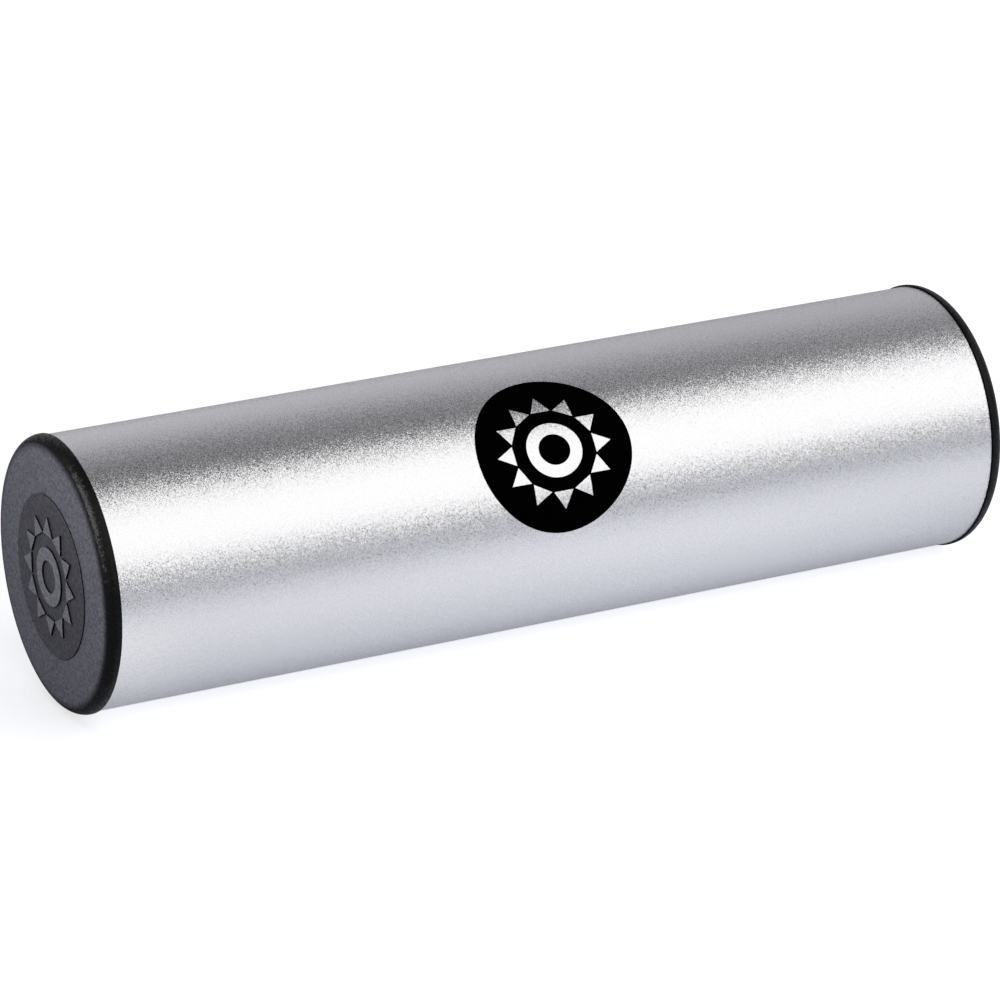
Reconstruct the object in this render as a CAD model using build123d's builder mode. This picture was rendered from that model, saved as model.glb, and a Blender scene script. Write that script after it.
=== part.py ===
from build123d import *
from math import cos, radians, sin, sqrt
import os

# Ganza shaker: a metal tube closed by two pushed-in plastic caps, with loose steel shot inside.
# It lies along X as on a table. Z = 0 is the table, +X the right-hand end, -Y the badge's side.
# All sizes are in millimetres and all angles in degrees.

# Tube
tube_length = 214.0
tube_diameter = 60.0
tube_wall = 1.5
tube_edge_break = 0.25

# Caps: a flange outside the tube and a skirt with crush ribs pushed into its bore
flange_thickness = 3.0
flange_overhang = 0.4
flange_land = 0.2
flange_edge_width = 1.9
flange_edge_blend = 2.0
skirt_length = 10.0
skirt_wall = 2.0
skirt_clearance = 0.3
rib_clearance = 0.05
skirt_lead_in = 0.8
rib_count = 12
rib_width = 1.2
rib_setback = 1.5
boss_diameter = 36.0
boss_height = 0.3
boss_edge_blend = 0.12
ornament_height = 0.45

# Badge: a thin printed disc on the tube, turned down from the top towards -Y
badge_diameter = 36.9
badge_thickness = 0.1
badge_angle = 52.8
badge_offset = -1.8

# Ornament of the badge and the caps, as shares of the disc's radius
ornament_rays = 12
ornament_ray_circle = 0.60
ornament_ray_size = 0.15
ornament_hub = 0.36
ornament_hub_hole = 0.20

# Shot: one layer of steel beads along the bottom of the bore, in rows that each have their own lane
bead_diameter = 4.0
bead_gap = 1.0
bead_scatter = 0.3
lane_gap = 0.4
wall_gap = 0.3
row_count = 7
group_beads = 8
group_names = ("left", "middle", "right")

# Sizes that follow from the ones above
tube_radius = tube_diameter / 2
bore_radius = tube_radius - tube_wall
flange_radius = tube_radius + flange_overhang
axis_height = flange_radius
skirt_radius = bore_radius - skirt_clearance
badge_radius = badge_diameter / 2
bead_radius = bead_diameter / 2
bead_pitch = bead_diameter + bead_gap
lane_pitch = bead_diameter + lane_gap
lane_circle = bore_radius - wall_gap - bead_radius

os.makedirs("parts", exist_ok=True)


def ornament(radius, draw, clear):
    """Draw a ring of outward triangles round a broad hub ring into the open sketch."""
    with PolarLocations(radius * ornament_ray_circle, ornament_rays):
        RegularPolygon(radius * ornament_ray_size, 3, mode=draw)
    Circle(radius * ornament_hub, mode=draw)
    Circle(radius * ornament_hub_hole, mode=clear)


# Tube: drawn aluminium, cut square with both ends deburred
tube_end = Plane(origin=(-tube_length / 2, 0, axis_height), x_dir=(0, 1, 0), z_dir=(1, 0, 0))
with BuildPart() as tube:
    with BuildSketch(tube_end):
        Circle(tube_radius)
        Circle(bore_radius, mode=Mode.SUBTRACT)
    extrude(amount=tube_length)
    chamfer(tube.edges().filter_by(GeomType.CIRCLE), tube_edge_break)
tube.part.label = "tube"
export_step(tube.part, "parts/tube.step")

# Caps: each sits with its flange's shoulder flat on the tube's end, and both are alike
for cap_name, side in (("left_cap", -1), ("right_cap", 1)):
    seat = Plane(
        origin=(side * tube_length / 2, 0, axis_height), x_dir=(0, side, 0), z_dir=(side, 0, 0)
    )
    outward = Axis(seat.origin, seat.z_dir)
    half_section = Plane(origin=seat.origin, x_dir=seat.x_dir, z_dir=-seat.y_dir)
    with BuildPart() as cap:
        # Flange, turned from its half section: a bowed edge that meets the flat face in a soft crease
        land_end = (flange_radius, flange_land)
        crease = (flange_radius - flange_edge_width, flange_thickness)
        with BuildSketch(half_section):
            with BuildLine():
                Polyline((0, flange_thickness), (0, 0), (flange_radius, 0), land_end)
                TangentArc(land_end, crease, tangent=(0, 1))
                Line(crease, (0, flange_thickness))
            make_face()
        revolve(axis=outward)
        fillet(cap.edges().sort_by(outward)[-1], flange_edge_blend)

        # Skirt that goes into the bore, with a bevelled leading edge
        with BuildSketch(seat):
            Circle(skirt_radius)
            Circle(skirt_radius - skirt_wall, mode=Mode.SUBTRACT)
        extrude(amount=-skirt_length)
        skirt_end = cap.faces().sort_by(outward)[0]
        chamfer(skirt_end.edges().sort_by(SortBy.RADIUS)[-1], skirt_lead_in)

        # Crush ribs that grip the bore
        with BuildSketch(seat):
            with PolarLocations(skirt_radius, rib_count):
                Rectangle(2 * (skirt_clearance + skirt_wall / 2), rib_width)
            Circle(bore_radius - rib_clearance, mode=Mode.INTERSECT)
        extrude(amount=-(skirt_length - rib_setback))

        # Low round boss on the outer face, with the raised ornament standing on it
        with BuildSketch(seat.offset(flange_thickness)):
            Circle(boss_diameter / 2)
        extrude(amount=boss_height)
        fillet(cap.edges().sort_by(outward)[-1], boss_edge_blend)
        with BuildSketch(seat.offset(flange_thickness + boss_height)):
            ornament(boss_diameter / 2, Mode.ADD, Mode.SUBTRACT)
        extrude(amount=ornament_height)
    cap.part.label = cap_name
    export_step(cap.part, f"parts/{cap_name}.step")

# Badge: a printed disc that follows the tube, with its ornament left open so that the metal shows.
# It is round along the curved surface, so its straight-on view is slightly flattened.
badge_lean = radians(badge_angle)
badge_plane = Plane(
    origin=(badge_offset, 0, axis_height), x_dir=(1, 0, 0), z_dir=(0, -sin(badge_lean), cos(badge_lean))
)
badge_flattening = sin(badge_radius / tube_radius) / (badge_radius / tube_radius)
with BuildPart() as badge:
    with BuildSketch(tube_end):
        Circle(tube_radius + badge_thickness)
        Circle(tube_radius, mode=Mode.SUBTRACT)
    extrude(amount=tube_length)
    with BuildSketch(badge_plane):
        Circle(badge_radius)
        ornament(badge_radius, Mode.SUBTRACT, Mode.ADD)
        scale(by=(1, badge_flattening, 1))
    extrude(amount=tube_diameter, mode=Mode.INTERSECT)
badge.part.label = "badge"
export_step(badge.part, "parts/badge.step")

# Shot: every row is split into three groups of beads along the tube.
# Neighbouring rows are staggered, and a small uneven drift makes them look poured.
row_beads = group_beads * len(group_names)
for row in range(row_count):
    row_y = (row - (row_count - 1) / 2) * lane_pitch
    row_z = axis_height - sqrt(lane_circle**2 - row_y**2)
    stagger = bead_pitch / 4 if row % 2 else -bead_pitch / 4
    for group, group_name in enumerate(group_names):
        places = []
        for bead in range(group * group_beads, (group + 1) * group_beads):
            drift = bead_scatter * sin(2.4 * bead + 1.7 * row)
            bead_x = (bead - (row_beads - 1) / 2) * bead_pitch + stagger + drift
            places.append((bead_x, row_y, row_z))
        with BuildPart() as shot:
            with Locations(*places):
                Sphere(bead_radius)
        shot_name = f"shot_row_{row + 1}_{group_name}"
        shot.part.label = shot_name
        export_step(shot.part, f"parts/{shot_name}.step")
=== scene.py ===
import math

import bpy
from mathutils import Matrix, Vector

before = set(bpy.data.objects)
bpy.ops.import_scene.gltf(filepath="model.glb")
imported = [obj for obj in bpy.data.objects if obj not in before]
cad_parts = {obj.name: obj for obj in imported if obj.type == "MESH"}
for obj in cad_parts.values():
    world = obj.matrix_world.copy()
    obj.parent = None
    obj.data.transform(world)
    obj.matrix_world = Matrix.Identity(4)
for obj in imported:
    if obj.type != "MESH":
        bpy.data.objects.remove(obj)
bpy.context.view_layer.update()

# Tube: a drawn aluminium tube, bead-blasted and silver anodised, open at both ends before it is capped.
# Everything else is fixed to it or runs inside it.
MM = 0.001
AXIS_HEIGHT = 30.4 * MM
BLAST_GRAIN = 0.15 * MM
BLAST_TILT = 0.13
SHINIEST_DENT = 0.15
DULLEST_DENT = 0.38
SILVER = "#DDDDDD"


def linear(hex_colour):
    """Linear RGBA of an sRGB hex colour."""
    values = [int(hex_colour[i:i + 2], 16) / 255 for i in (1, 3, 5)]
    return [v / 12.92 if v <= 0.04045 else ((v + 0.055) / 1.055) ** 2.4 for v in values] + [1.0]


def add_node(tree, kind, settings=None, links=None):
    """Add a node, set its properties or inputs by name, and link sockets into its inputs."""
    node = tree.nodes.new(kind)
    for name, value in (settings or {}).items():
        if isinstance(name, int) or name in node.inputs:
            node.inputs[name].default_value = value
        else:
            setattr(node, name, value)
    for name, source in (links or {}).items():
        tree.links.new(source, node.inputs[name])
    return node


def new_material(name):
    """An empty node material and its tree."""
    material = bpy.data.materials.new(name)
    material.use_nodes = True
    material.node_tree.nodes.clear()
    return material, material.node_tree


def gritty_normal(tree, grains, tilt):
    """The surface normal, thrown a little to all sides from grain to grain."""
    throw = add_node(tree, "ShaderNodeVectorMath",
                     {"operation": "MULTIPLY_ADD", 1: [2 * tilt] * 3, 2: [-tilt] * 3},
                     {0: grains.outputs["Color"]})
    surface = add_node(tree, "ShaderNodeNewGeometry")
    thrown = add_node(tree, "ShaderNodeVectorMath", {"operation": "ADD"},
                      {0: surface.outputs["Normal"], 1: throw.outputs["Vector"]})
    thrown = add_node(tree, "ShaderNodeVectorMath", {"operation": "NORMALIZE"},
                      {0: thrown.outputs["Vector"]})
    return thrown.outputs["Vector"]


def dress(node_name, material):
    """Give a CAD node its material."""
    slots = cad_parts[node_name].data.materials
    slots.clear()
    slots.append(material)


# Blasted aluminium: a soft broad sheen that breaks up into fine glints where light meets dark.
# Every dent of the blasting, 0.15 mm across as on the real tube, leans its own way and has its own dullness.
blasted_aluminium, tree = new_material("blasted_anodised_aluminium")
place = add_node(tree, "ShaderNodeTexCoord")
grit = add_node(tree, "ShaderNodeTexVoronoi", {"Scale": 1 / BLAST_GRAIN},
                {"Vector": place.outputs["Object"]})
dullness = add_node(tree, "ShaderNodeSeparateXYZ", None, {"Vector": grit.outputs["Color"]})
dullness = add_node(tree, "ShaderNodeMapRange",
                    {"To Min": SHINIEST_DENT, "To Max": DULLEST_DENT},
                    {"Value": dullness.outputs["X"]})
skin = add_node(tree, "ShaderNodeBsdfPrincipled",
                {"Base Color": linear(SILVER), "Metallic": 1.0},
                {"Roughness": dullness.outputs["Result"], "Normal": gritty_normal(tree, grit, BLAST_TILT)})
add_node(tree, "ShaderNodeOutputMaterial", None, {"Surface": skin.outputs["BSDF"]})
dress("tube", blasted_aluminium)

# Caps: two like mouldings in black ABS, pushed into the tube's ends and held by their crush ribs.
# Each has a bowed flange edge, a flat ring and a low round boss with a raised ornament.
EROSION_GRAIN = 0.45 * MM
EROSION_TILT = 0.12
DARKEST_PIT = 0.6
PALEST_PIT = 1.4
FACE_ROUGHNESS = 0.45
EDGE_ROUGHNESS = 0.38
FLANGE_FACE = 110.0 * MM
RELIEF_SPAN = 1.0 * MM
EDGE_STARTS = 27.2 * MM
EDGE_IS_FULL = 29.0 * MM
FACE_BLACK = "#4F4F56"
BOSS_BLACK = "#37373B"
ORNAMENT_BLACK = "#5D5D64"
PAINTED_SHADE_BLACK = "#060607"
# Blacks by the height above the flange's face, as shares of the relief's span; the steps' deep black is
# painted shade
RELIEF_BLACKS_AND_STEP_SHADE = ((0.0, FACE_BLACK), (0.03, PAINTED_SHADE_BLACK), (0.25, BOSS_BLACK),
                 (0.33, PAINTED_SHADE_BLACK), (0.70, ORNAMENT_BLACK))


def set_stops(ramp, stops):
    """Give a colour ramp its stops, each with a position and a linear colour."""
    while len(ramp.elements) < len(stops):
        ramp.elements.new(0.5)
    for stop, (position, colour) in zip(ramp.elements, stops):
        stop.position = position
        stop.color = colour


# Moulded ABS: the ring and the ornament are spark-eroded to a mottled grey-black, the boss is darker,
# and the flange's edge is smoother. The edge and the steps are painted a deep black: painted shade where they
# turn away from the light. Real pits are about 0.2 mm across, and are drawn coarser here so that they show.
black_abs, tree = new_material("moulded_black_abs")
place = add_node(tree, "ShaderNodeTexCoord")
along = add_node(tree, "ShaderNodeSeparateXYZ", None, {"Vector": place.outputs["Object"]})
along = add_node(tree, "ShaderNodeMath", {"operation": "ABSOLUTE"}, {0: along.outputs["X"]})
relief = add_node(tree, "ShaderNodeMapRange",
                  {"From Min": FLANGE_FACE, "From Max": FLANGE_FACE + RELIEF_SPAN},
                  {"Value": along.outputs["Value"]})
blacks = add_node(tree, "ShaderNodeValToRGB", None, {"Fac": relief.outputs["Result"]})
blacks.color_ramp.interpolation = "CONSTANT"
set_stops(blacks.color_ramp, [(position, linear(black)) for position, black in RELIEF_BLACKS_AND_STEP_SHADE])
spoke = add_node(tree, "ShaderNodeMapping",
                 {"Location": (0.0, 0.0, -AXIS_HEIGHT), "Scale": (0.0, 1.0, 1.0)},
                 {"Vector": place.outputs["Object"]})
radius = add_node(tree, "ShaderNodeVectorMath", {"operation": "LENGTH"}, {0: spoke.outputs["Vector"]})
# The flange's edge turns from the ring's blacks to a painted shade of deep black, and grows smoother
edge_shade_and_polish = add_node(tree, "ShaderNodeMapRange",
                {"From Min": EDGE_STARTS, "From Max": EDGE_IS_FULL},
                {"Value": radius.outputs["Value"]})
black = add_node(tree, "ShaderNodeMix", {"data_type": "RGBA", 7: linear(PAINTED_SHADE_BLACK)},
                 {0: edge_shade_and_polish.outputs["Result"], 6: blacks.outputs["Color"]})
pits = add_node(tree, "ShaderNodeTexVoronoi", {"Scale": 1 / EROSION_GRAIN},
                {"Vector": place.outputs["Object"]})
mottle = add_node(tree, "ShaderNodeMapRange", {"To Min": DARKEST_PIT, "To Max": PALEST_PIT},
                  {"Value": pits.outputs["Color"]})
colour = add_node(tree, "ShaderNodeVectorMath", {"operation": "SCALE"},
                  {0: black.outputs[2], "Scale": mottle.outputs["Result"]})
roughness = add_node(tree, "ShaderNodeMapRange", {"To Min": FACE_ROUGHNESS, "To Max": EDGE_ROUGHNESS},
                     {"Value": edge_shade_and_polish.outputs["Result"]})
skin = add_node(tree, "ShaderNodeBsdfPrincipled",
                {"IOR": 1.5, "Specular IOR Level": 0.14},
                {"Base Color": colour.outputs["Vector"], "Roughness": roughness.outputs["Result"],
                 "Normal": gritty_normal(tree, pits, EROSION_TILT)})
add_node(tree, "ShaderNodeOutputMaterial", None, {"Surface": skin.outputs["BSDF"]})
for cap in ("left_cap", "right_cap"):
    dress(cap, black_abs)

# Badge: a round print in black ink on the tube's side, screen-printed after the blasting.
# Its ornament is left open, so that the metal shows through.
PRINT_BLACK = "#020202"
INK_GRAIN = 0.25 * MM
SHINIEST_INK = 0.55
DULLEST_INK = 0.75

# Screen-printed matt ink: a dead black with a trace of mottle from the grit under it.
printed_ink, tree = new_material("screen_printed_matt_ink")
place = add_node(tree, "ShaderNodeTexCoord")
mottle = add_node(tree, "ShaderNodeTexNoise",
                  {"Scale": 1 / INK_GRAIN, "Detail": 2.0},
                  {"Vector": place.outputs["Object"]})
shade = add_node(tree, "ShaderNodeMapRange",
                 {"To Min": SHINIEST_INK, "To Max": DULLEST_INK},
                 {"Value": mottle.outputs["Fac"]})
skin = add_node(tree, "ShaderNodeBsdfPrincipled",
                {"Base Color": linear(PRINT_BLACK), "Specular IOR Level": 0.0},
                {"Roughness": shade.outputs["Result"]})
add_node(tree, "ShaderNodeOutputMaterial", None, {"Surface": skin.outputs["BSDF"]})
dress("badge", printed_ink)

# Shot: small steel beads, poured into the tube before its second cap goes in.
# They lie loose on the bottom of the bore, free to swirl, run and jump.
STEEL = "#9A9A9C"
SCUFF_GRAIN = 0.6 * MM
BRIGHT_ROUGHNESS = 0.12
SCUFFED_ROUGHNESS = 0.45

# Tumbled steel shot: small bright balls, dulled in patches by rubbing on each other.
tumbled_steel, tree = new_material("tumbled_steel_shot")
place = add_node(tree, "ShaderNodeTexCoord")
scuffs = add_node(tree, "ShaderNodeTexNoise",
                  {"Scale": 1 / SCUFF_GRAIN, "Detail": 3.0},
                  {"Vector": place.outputs["Object"]})
dulled = add_node(tree, "ShaderNodeMapRange",
                  {"To Min": BRIGHT_ROUGHNESS, "To Max": SCUFFED_ROUGHNESS},
                  {"Value": scuffs.outputs["Fac"]})
skin = add_node(tree, "ShaderNodeBsdfPrincipled",
                {"Base Color": linear(STEEL), "Metallic": 1.0},
                {"Roughness": dulled.outputs["Result"]})
add_node(tree, "ShaderNodeOutputMaterial", None, {"Surface": skin.outputs["BSDF"]})
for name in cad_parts:
    if name.startswith("shot_row_"):
        dress(name, tumbled_steel)

# Table: a sheet of plain white paper that the shaker lies on, wide enough to fill every view. It isn't part
# of the shaker. Lifts are shares of full white, and the shares along it run from the near end to the far end.
TABLE_HALF = 12.0
PAPER = "#E2E5F1"
PAPER_LIFT = 0.72
FAR_PAPER_LIFT = 1.0
FAR_STARTS = 0.15
FAR_IS_FULL = 0.70
MIRRORED_LIFT = 0.223
PAINTED_POOL_LIFT = 0.446
POOL_MIDDLE = -74.0 * MM
POOL_FULL = 20.0 * MM
POOL_ENDS = 65.0 * MM
NEAR_END = -110.0 * MM
FAR_END = 110.0 * MM
# The shares along shape the painted pool of light: none at the near end and left of it, a painted shade under
# the near cap, and a little weaker towards the far end.
SHARES_ALONG = ((0.0, 0.0), (0.03, 1.0), (0.14, 0.74), (0.73, 0.74), (1.0, 0.63))
table_mesh = bpy.data.meshes.new("table")
table_mesh.from_pydata(
    [(-TABLE_HALF, -TABLE_HALF, 0), (TABLE_HALF, -TABLE_HALF, 0),
     (TABLE_HALF, TABLE_HALF, 0), (-TABLE_HALF, TABLE_HALF, 0)],
    [], [(0, 1, 2, 3)])
table = bpy.data.objects.new("table", table_mesh)
bpy.context.scene.collection.objects.link(table)

# White paper: matt, with a light of its own for direct looks, stronger far from the shaker, and a weaker one
# for reflections, so that it reads as white. The reflections' light is a painted pool of light, brightest in
# a strip in front where the tube mirrors it.
white_paper, tree = new_material("white_paper")
place = add_node(tree, "ShaderNodeTexCoord")
across = add_node(tree, "ShaderNodeSeparateXYZ", None, {"Vector": place.outputs["Object"]})
beside = add_node(tree, "ShaderNodeMath", {"operation": "SUBTRACT", 1: POOL_MIDDLE},
                  {0: across.outputs["Y"]})
beside = add_node(tree, "ShaderNodeMath", {"operation": "ABSOLUTE"}, {0: beside.outputs["Value"]})
painted_pool = add_node(tree, "ShaderNodeMapRange",
                {"interpolation_type": "SMOOTHSTEP", "From Min": POOL_FULL, "From Max": POOL_ENDS,
                 "To Min": MIRRORED_LIFT + PAINTED_POOL_LIFT, "To Max": MIRRORED_LIFT},
                {"Value": beside.outputs["Value"]})
along = add_node(tree, "ShaderNodeMapRange", {"From Min": NEAR_END, "From Max": FAR_END},
                 {"Value": across.outputs["X"]})
shares = add_node(tree, "ShaderNodeValToRGB", None, {"Fac": along.outputs["Result"]})
set_stops(shares.color_ramp, [(position, (share, share, share, 1.0)) for position, share in SHARES_ALONG])
painted_pool = add_node(tree, "ShaderNodeMath", {"operation": "MULTIPLY"},
                {0: painted_pool.outputs["Result"], 1: shares.outputs["Color"]})
ray = add_node(tree, "ShaderNodeLightPath")
mirrored = add_node(tree, "ShaderNodeMath", {"operation": "MAXIMUM"},
                    {0: ray.outputs["Is Glossy Ray"], 1: ray.outputs["Is Transmission Ray"]})
mirrored = add_node(tree, "ShaderNodeMath", {"operation": "MULTIPLY"},
                    {0: mirrored.outputs["Value"], 1: painted_pool.outputs["Value"]})
far = add_node(tree, "ShaderNodeVectorMath", {"operation": "LENGTH"}, {0: place.outputs["Object"]})
far = add_node(tree, "ShaderNodeMapRange",
               {"From Min": FAR_STARTS, "From Max": FAR_IS_FULL,
                "To Min": PAPER_LIFT, "To Max": FAR_PAPER_LIFT},
               {"Value": far.outputs["Value"]})
lift = add_node(tree, "ShaderNodeMath", {"operation": "MULTIPLY_ADD"},
                {0: ray.outputs["Is Camera Ray"], 1: far.outputs["Result"], 2: mirrored.outputs["Value"]})
skin = add_node(tree, "ShaderNodeBsdfPrincipled",
                {"Base Color": linear(PAPER), "Roughness": 0.9, "Specular IOR Level": 0.0,
                 "Emission Color": (1.0, 1.0, 1.0, 1.0)},
                {"Emission Strength": lift.outputs["Value"]})
add_node(tree, "ShaderNodeOutputMaterial", None, {"Surface": skin.outputs["BSDF"]})
table_mesh.materials.append(white_paper)

# Studio: pale walls that darken towards the ceiling, the front, the left and the far right corner, and white
# where the camera looks past the table. The tube still mirrors a pale wall at the far left. Where a change
# starts and ends is a part of the direction: X to the right, Y to the back or Z for the height.
WALL_LEVELS = ((0.0, 0.67), (0.35, 0.65), (0.57, 0.62), (0.70, 0.52),
               (0.80, 0.35), (0.88, 0.19), (1.0, 0.125))
WALL_TINT = (0.98, 0.97, 1.04)
FRONT_IS_DARK = -0.8
FRONT_ENDS = 0.2
FRONT_SHARE = 0.30
LEFT_IS_DARK = -0.35
LEFT_ENDS = 0.15
LEFT_SHARE = 0.15
CORNER_STARTS_RIGHT = 0.39
CORNER_IS_FULL_RIGHT = 0.47
CORNER_STARTS_BEHIND = 0.2
CORNER_IS_FULL_BEHIND = 0.9
CORNER_LOSS = 0.22
PALE_WALL_IS_FULL = -0.75
PALE_WALL_ENDS = -0.45
PALE_WALL_LEVEL = 0.85
world = bpy.data.worlds.new("studio")
world.use_nodes = True
tree = world.node_tree
tree.nodes.clear()
toward = add_node(tree, "ShaderNodeTexCoord")
direction = add_node(tree, "ShaderNodeSeparateXYZ", None, {"Vector": toward.outputs["Generated"]})
walls = add_node(tree, "ShaderNodeValToRGB", None, {"Fac": direction.outputs["Z"]})
set_stops(walls.color_ramp,
          [(height, [tint * level for tint in WALL_TINT] + [1.0]) for height, level in WALL_LEVELS])
front_fall = add_node(tree, "ShaderNodeMapRange",
                      {"From Min": FRONT_IS_DARK, "From Max": FRONT_ENDS, "To Min": FRONT_SHARE},
                      {"Value": direction.outputs["Y"]})
left_fall = add_node(tree, "ShaderNodeMapRange",
                     {"From Min": LEFT_IS_DARK, "From Max": LEFT_ENDS, "To Min": LEFT_SHARE},
                     {"Value": direction.outputs["X"]})
fall = add_node(tree, "ShaderNodeMath", {"operation": "MULTIPLY"},
                {0: front_fall.outputs["Result"], 1: left_fall.outputs["Result"]})
rightward = add_node(tree, "ShaderNodeMapRange",
                     {"From Min": CORNER_STARTS_RIGHT, "From Max": CORNER_IS_FULL_RIGHT},
                     {"Value": direction.outputs["X"]})
behind = add_node(tree, "ShaderNodeMapRange",
                  {"From Min": CORNER_STARTS_BEHIND, "From Max": CORNER_IS_FULL_BEHIND,
                   "To Max": -CORNER_LOSS},
                  {"Value": direction.outputs["Y"]})
corner_fall = add_node(tree, "ShaderNodeMath", {"operation": "MULTIPLY_ADD", 2: 1.0},
                       {0: rightward.outputs["Result"], 1: behind.outputs["Result"]})
fall = add_node(tree, "ShaderNodeMath", {"operation": "MULTIPLY"},
                {0: fall.outputs["Value"], 1: corner_fall.outputs["Value"]})
far_left = add_node(tree, "ShaderNodeMapRange",
                    {"From Min": PALE_WALL_IS_FULL, "From Max": PALE_WALL_ENDS,
                     "To Min": PALE_WALL_LEVEL, "To Max": 0.0},
                    {"Value": direction.outputs["X"]})
ray = add_node(tree, "ShaderNodeLightPath")
strength = add_node(tree, "ShaderNodeMath", {"operation": "MULTIPLY_ADD"},
                    {0: ray.outputs["Is Glossy Ray"], 1: far_left.outputs["Result"],
                     2: fall.outputs["Value"]})
studio_light = add_node(tree, "ShaderNodeBackground", None,
                        {"Color": walls.outputs["Color"], "Strength": strength.outputs["Value"]})
plain_white = add_node(tree, "ShaderNodeBackground", {"Color": (1.0, 1.0, 1.0, 1.0), "Strength": 1.0})
either = add_node(tree, "ShaderNodeMixShader", None,
                  {"Fac": ray.outputs["Is Camera Ray"], 1: studio_light.outputs["Background"],
                   2: plain_white.outputs["Background"]})
add_node(tree, "ShaderNodeOutputWorld", None, {"Surface": either.outputs["Shader"]})
bpy.context.scene.world = world

# Softbox: one large diffuser above the front of the table, which draws the white band along the tube.
# It leans towards the shaker and stands a little to its right.
SOFTBOX_DISTANCE = 0.5
SOFTBOX_ASIDE = 0.4315
SOFTBOX_OUT = 0.902
SOFTBOX_LONG = 1.0
SOFTBOX_HIGH = 0.61
SOFTBOX_LEAN = math.radians(46.0)
SOFTBOX_POWER = 2.32
softbox_light = bpy.data.lights.new("softbox", "AREA")
softbox_light.shape = "RECTANGLE"
softbox_light.size = SOFTBOX_LONG
softbox_light.size_y = SOFTBOX_HIGH
softbox_light.energy = SOFTBOX_POWER
softbox = bpy.data.objects.new("softbox", softbox_light)
bpy.context.scene.collection.objects.link(softbox)
along_tube = Vector((1, 0, 0))
face = Vector((0, -math.sin(SOFTBOX_LEAN), math.cos(SOFTBOX_LEAN)))
toward_softbox = SOFTBOX_ASIDE * along_tube + SOFTBOX_OUT * face
softbox_place = Vector((0, 0, AXIS_HEIGHT)) + SOFTBOX_DISTANCE * toward_softbox
softbox_turn = Matrix((along_tube, face.cross(along_tube), face)).transposed()
softbox.matrix_world = Matrix.Translation(softbox_place) @ softbox_turn.to_4x4()
softbox.visible_camera = False

# Fill: a small panel close to the near cap's top left, which lifts the cap's face and draws the sheen on its
# edge. It is rolled so that its long side follows that edge, and flagged off the table and the tube.
FILL_DISTANCE = 0.15
FILL_LONG = 0.12
FILL_SHORT = 0.06
FILL_TOWARD = Vector((-0.75, -0.14, 0.65)).normalized()
FILL_ROLL = math.radians(-45.0)
FILL_POWER = 0.29
fill_light = bpy.data.lights.new("fill", "AREA")
fill_light.shape = "RECTANGLE"
fill_light.size = FILL_LONG
fill_light.size_y = FILL_SHORT
fill_light.energy = FILL_POWER
fill = bpy.data.objects.new("fill", fill_light)
bpy.context.scene.collection.objects.link(fill)
fill_place = Vector((-FLANGE_FACE, 0, AXIS_HEIGHT)) + FILL_DISTANCE * FILL_TOWARD
fill_turn = FILL_TOWARD.to_track_quat("Z", "Y").to_matrix() @ Matrix.Rotation(FILL_ROLL, 3, "Z")
fill.matrix_world = Matrix.Translation(fill_place) @ fill_turn.to_4x4()
fill.visible_camera = False
flagged = bpy.data.collections.new("flagged_off_the_fill")
for shaded in (table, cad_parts["tube"]):
    flagged.objects.link(shaded)
for entry in flagged.collection_objects:
    entry.light_linking.link_state = "EXCLUDE"
fill.light_linking.receiver_collection = flagged

# Camera: held level, with a long lens, on the badge's side of the shaker, to the left and above.
# It is shifted a little left and down in its own plane, so that the shaker sits in the picture as it should.
LENS_PIXELS = 5141.4
IMAGE_PIXELS = 1000
SENSOR_WIDTH = 36.0
CAMERA_DISTANCE = 1.139506
CAMERA_AZIMUTH = math.radians(-27.475)
CAMERA_ELEVATION = math.radians(20.918)
CAMERA_LEFT = 2.371 * MM
CAMERA_DOWN = 1.904 * MM
camera_data = bpy.data.cameras.new("camera")
camera_data.sensor_width = SENSOR_WIDTH
camera_data.lens = LENS_PIXELS * SENSOR_WIDTH / IMAGE_PIXELS
camera_data.clip_start = 0.05
camera_data.clip_end = 50.0
camera = bpy.data.objects.new("camera", camera_data)
bpy.context.scene.collection.objects.link(camera)
right = Vector((math.cos(CAMERA_AZIMUTH), math.sin(CAMERA_AZIMUTH), 0))
level_back = Vector((math.sin(CAMERA_AZIMUTH), -math.cos(CAMERA_AZIMUTH), 0))
back = math.cos(CAMERA_ELEVATION) * level_back + Vector((0, 0, math.sin(CAMERA_ELEVATION)))
up = back.cross(right)
eye = Vector((0, 0, AXIS_HEIGHT)) + CAMERA_DISTANCE * back - CAMERA_LEFT * right - CAMERA_DOWN * up
camera.matrix_world = Matrix.Translation(eye) @ Matrix((right, up, back)).transposed().to_4x4()
bpy.context.scene.camera = camera
bpy.context.scene.view_settings.view_transform = "Standard"
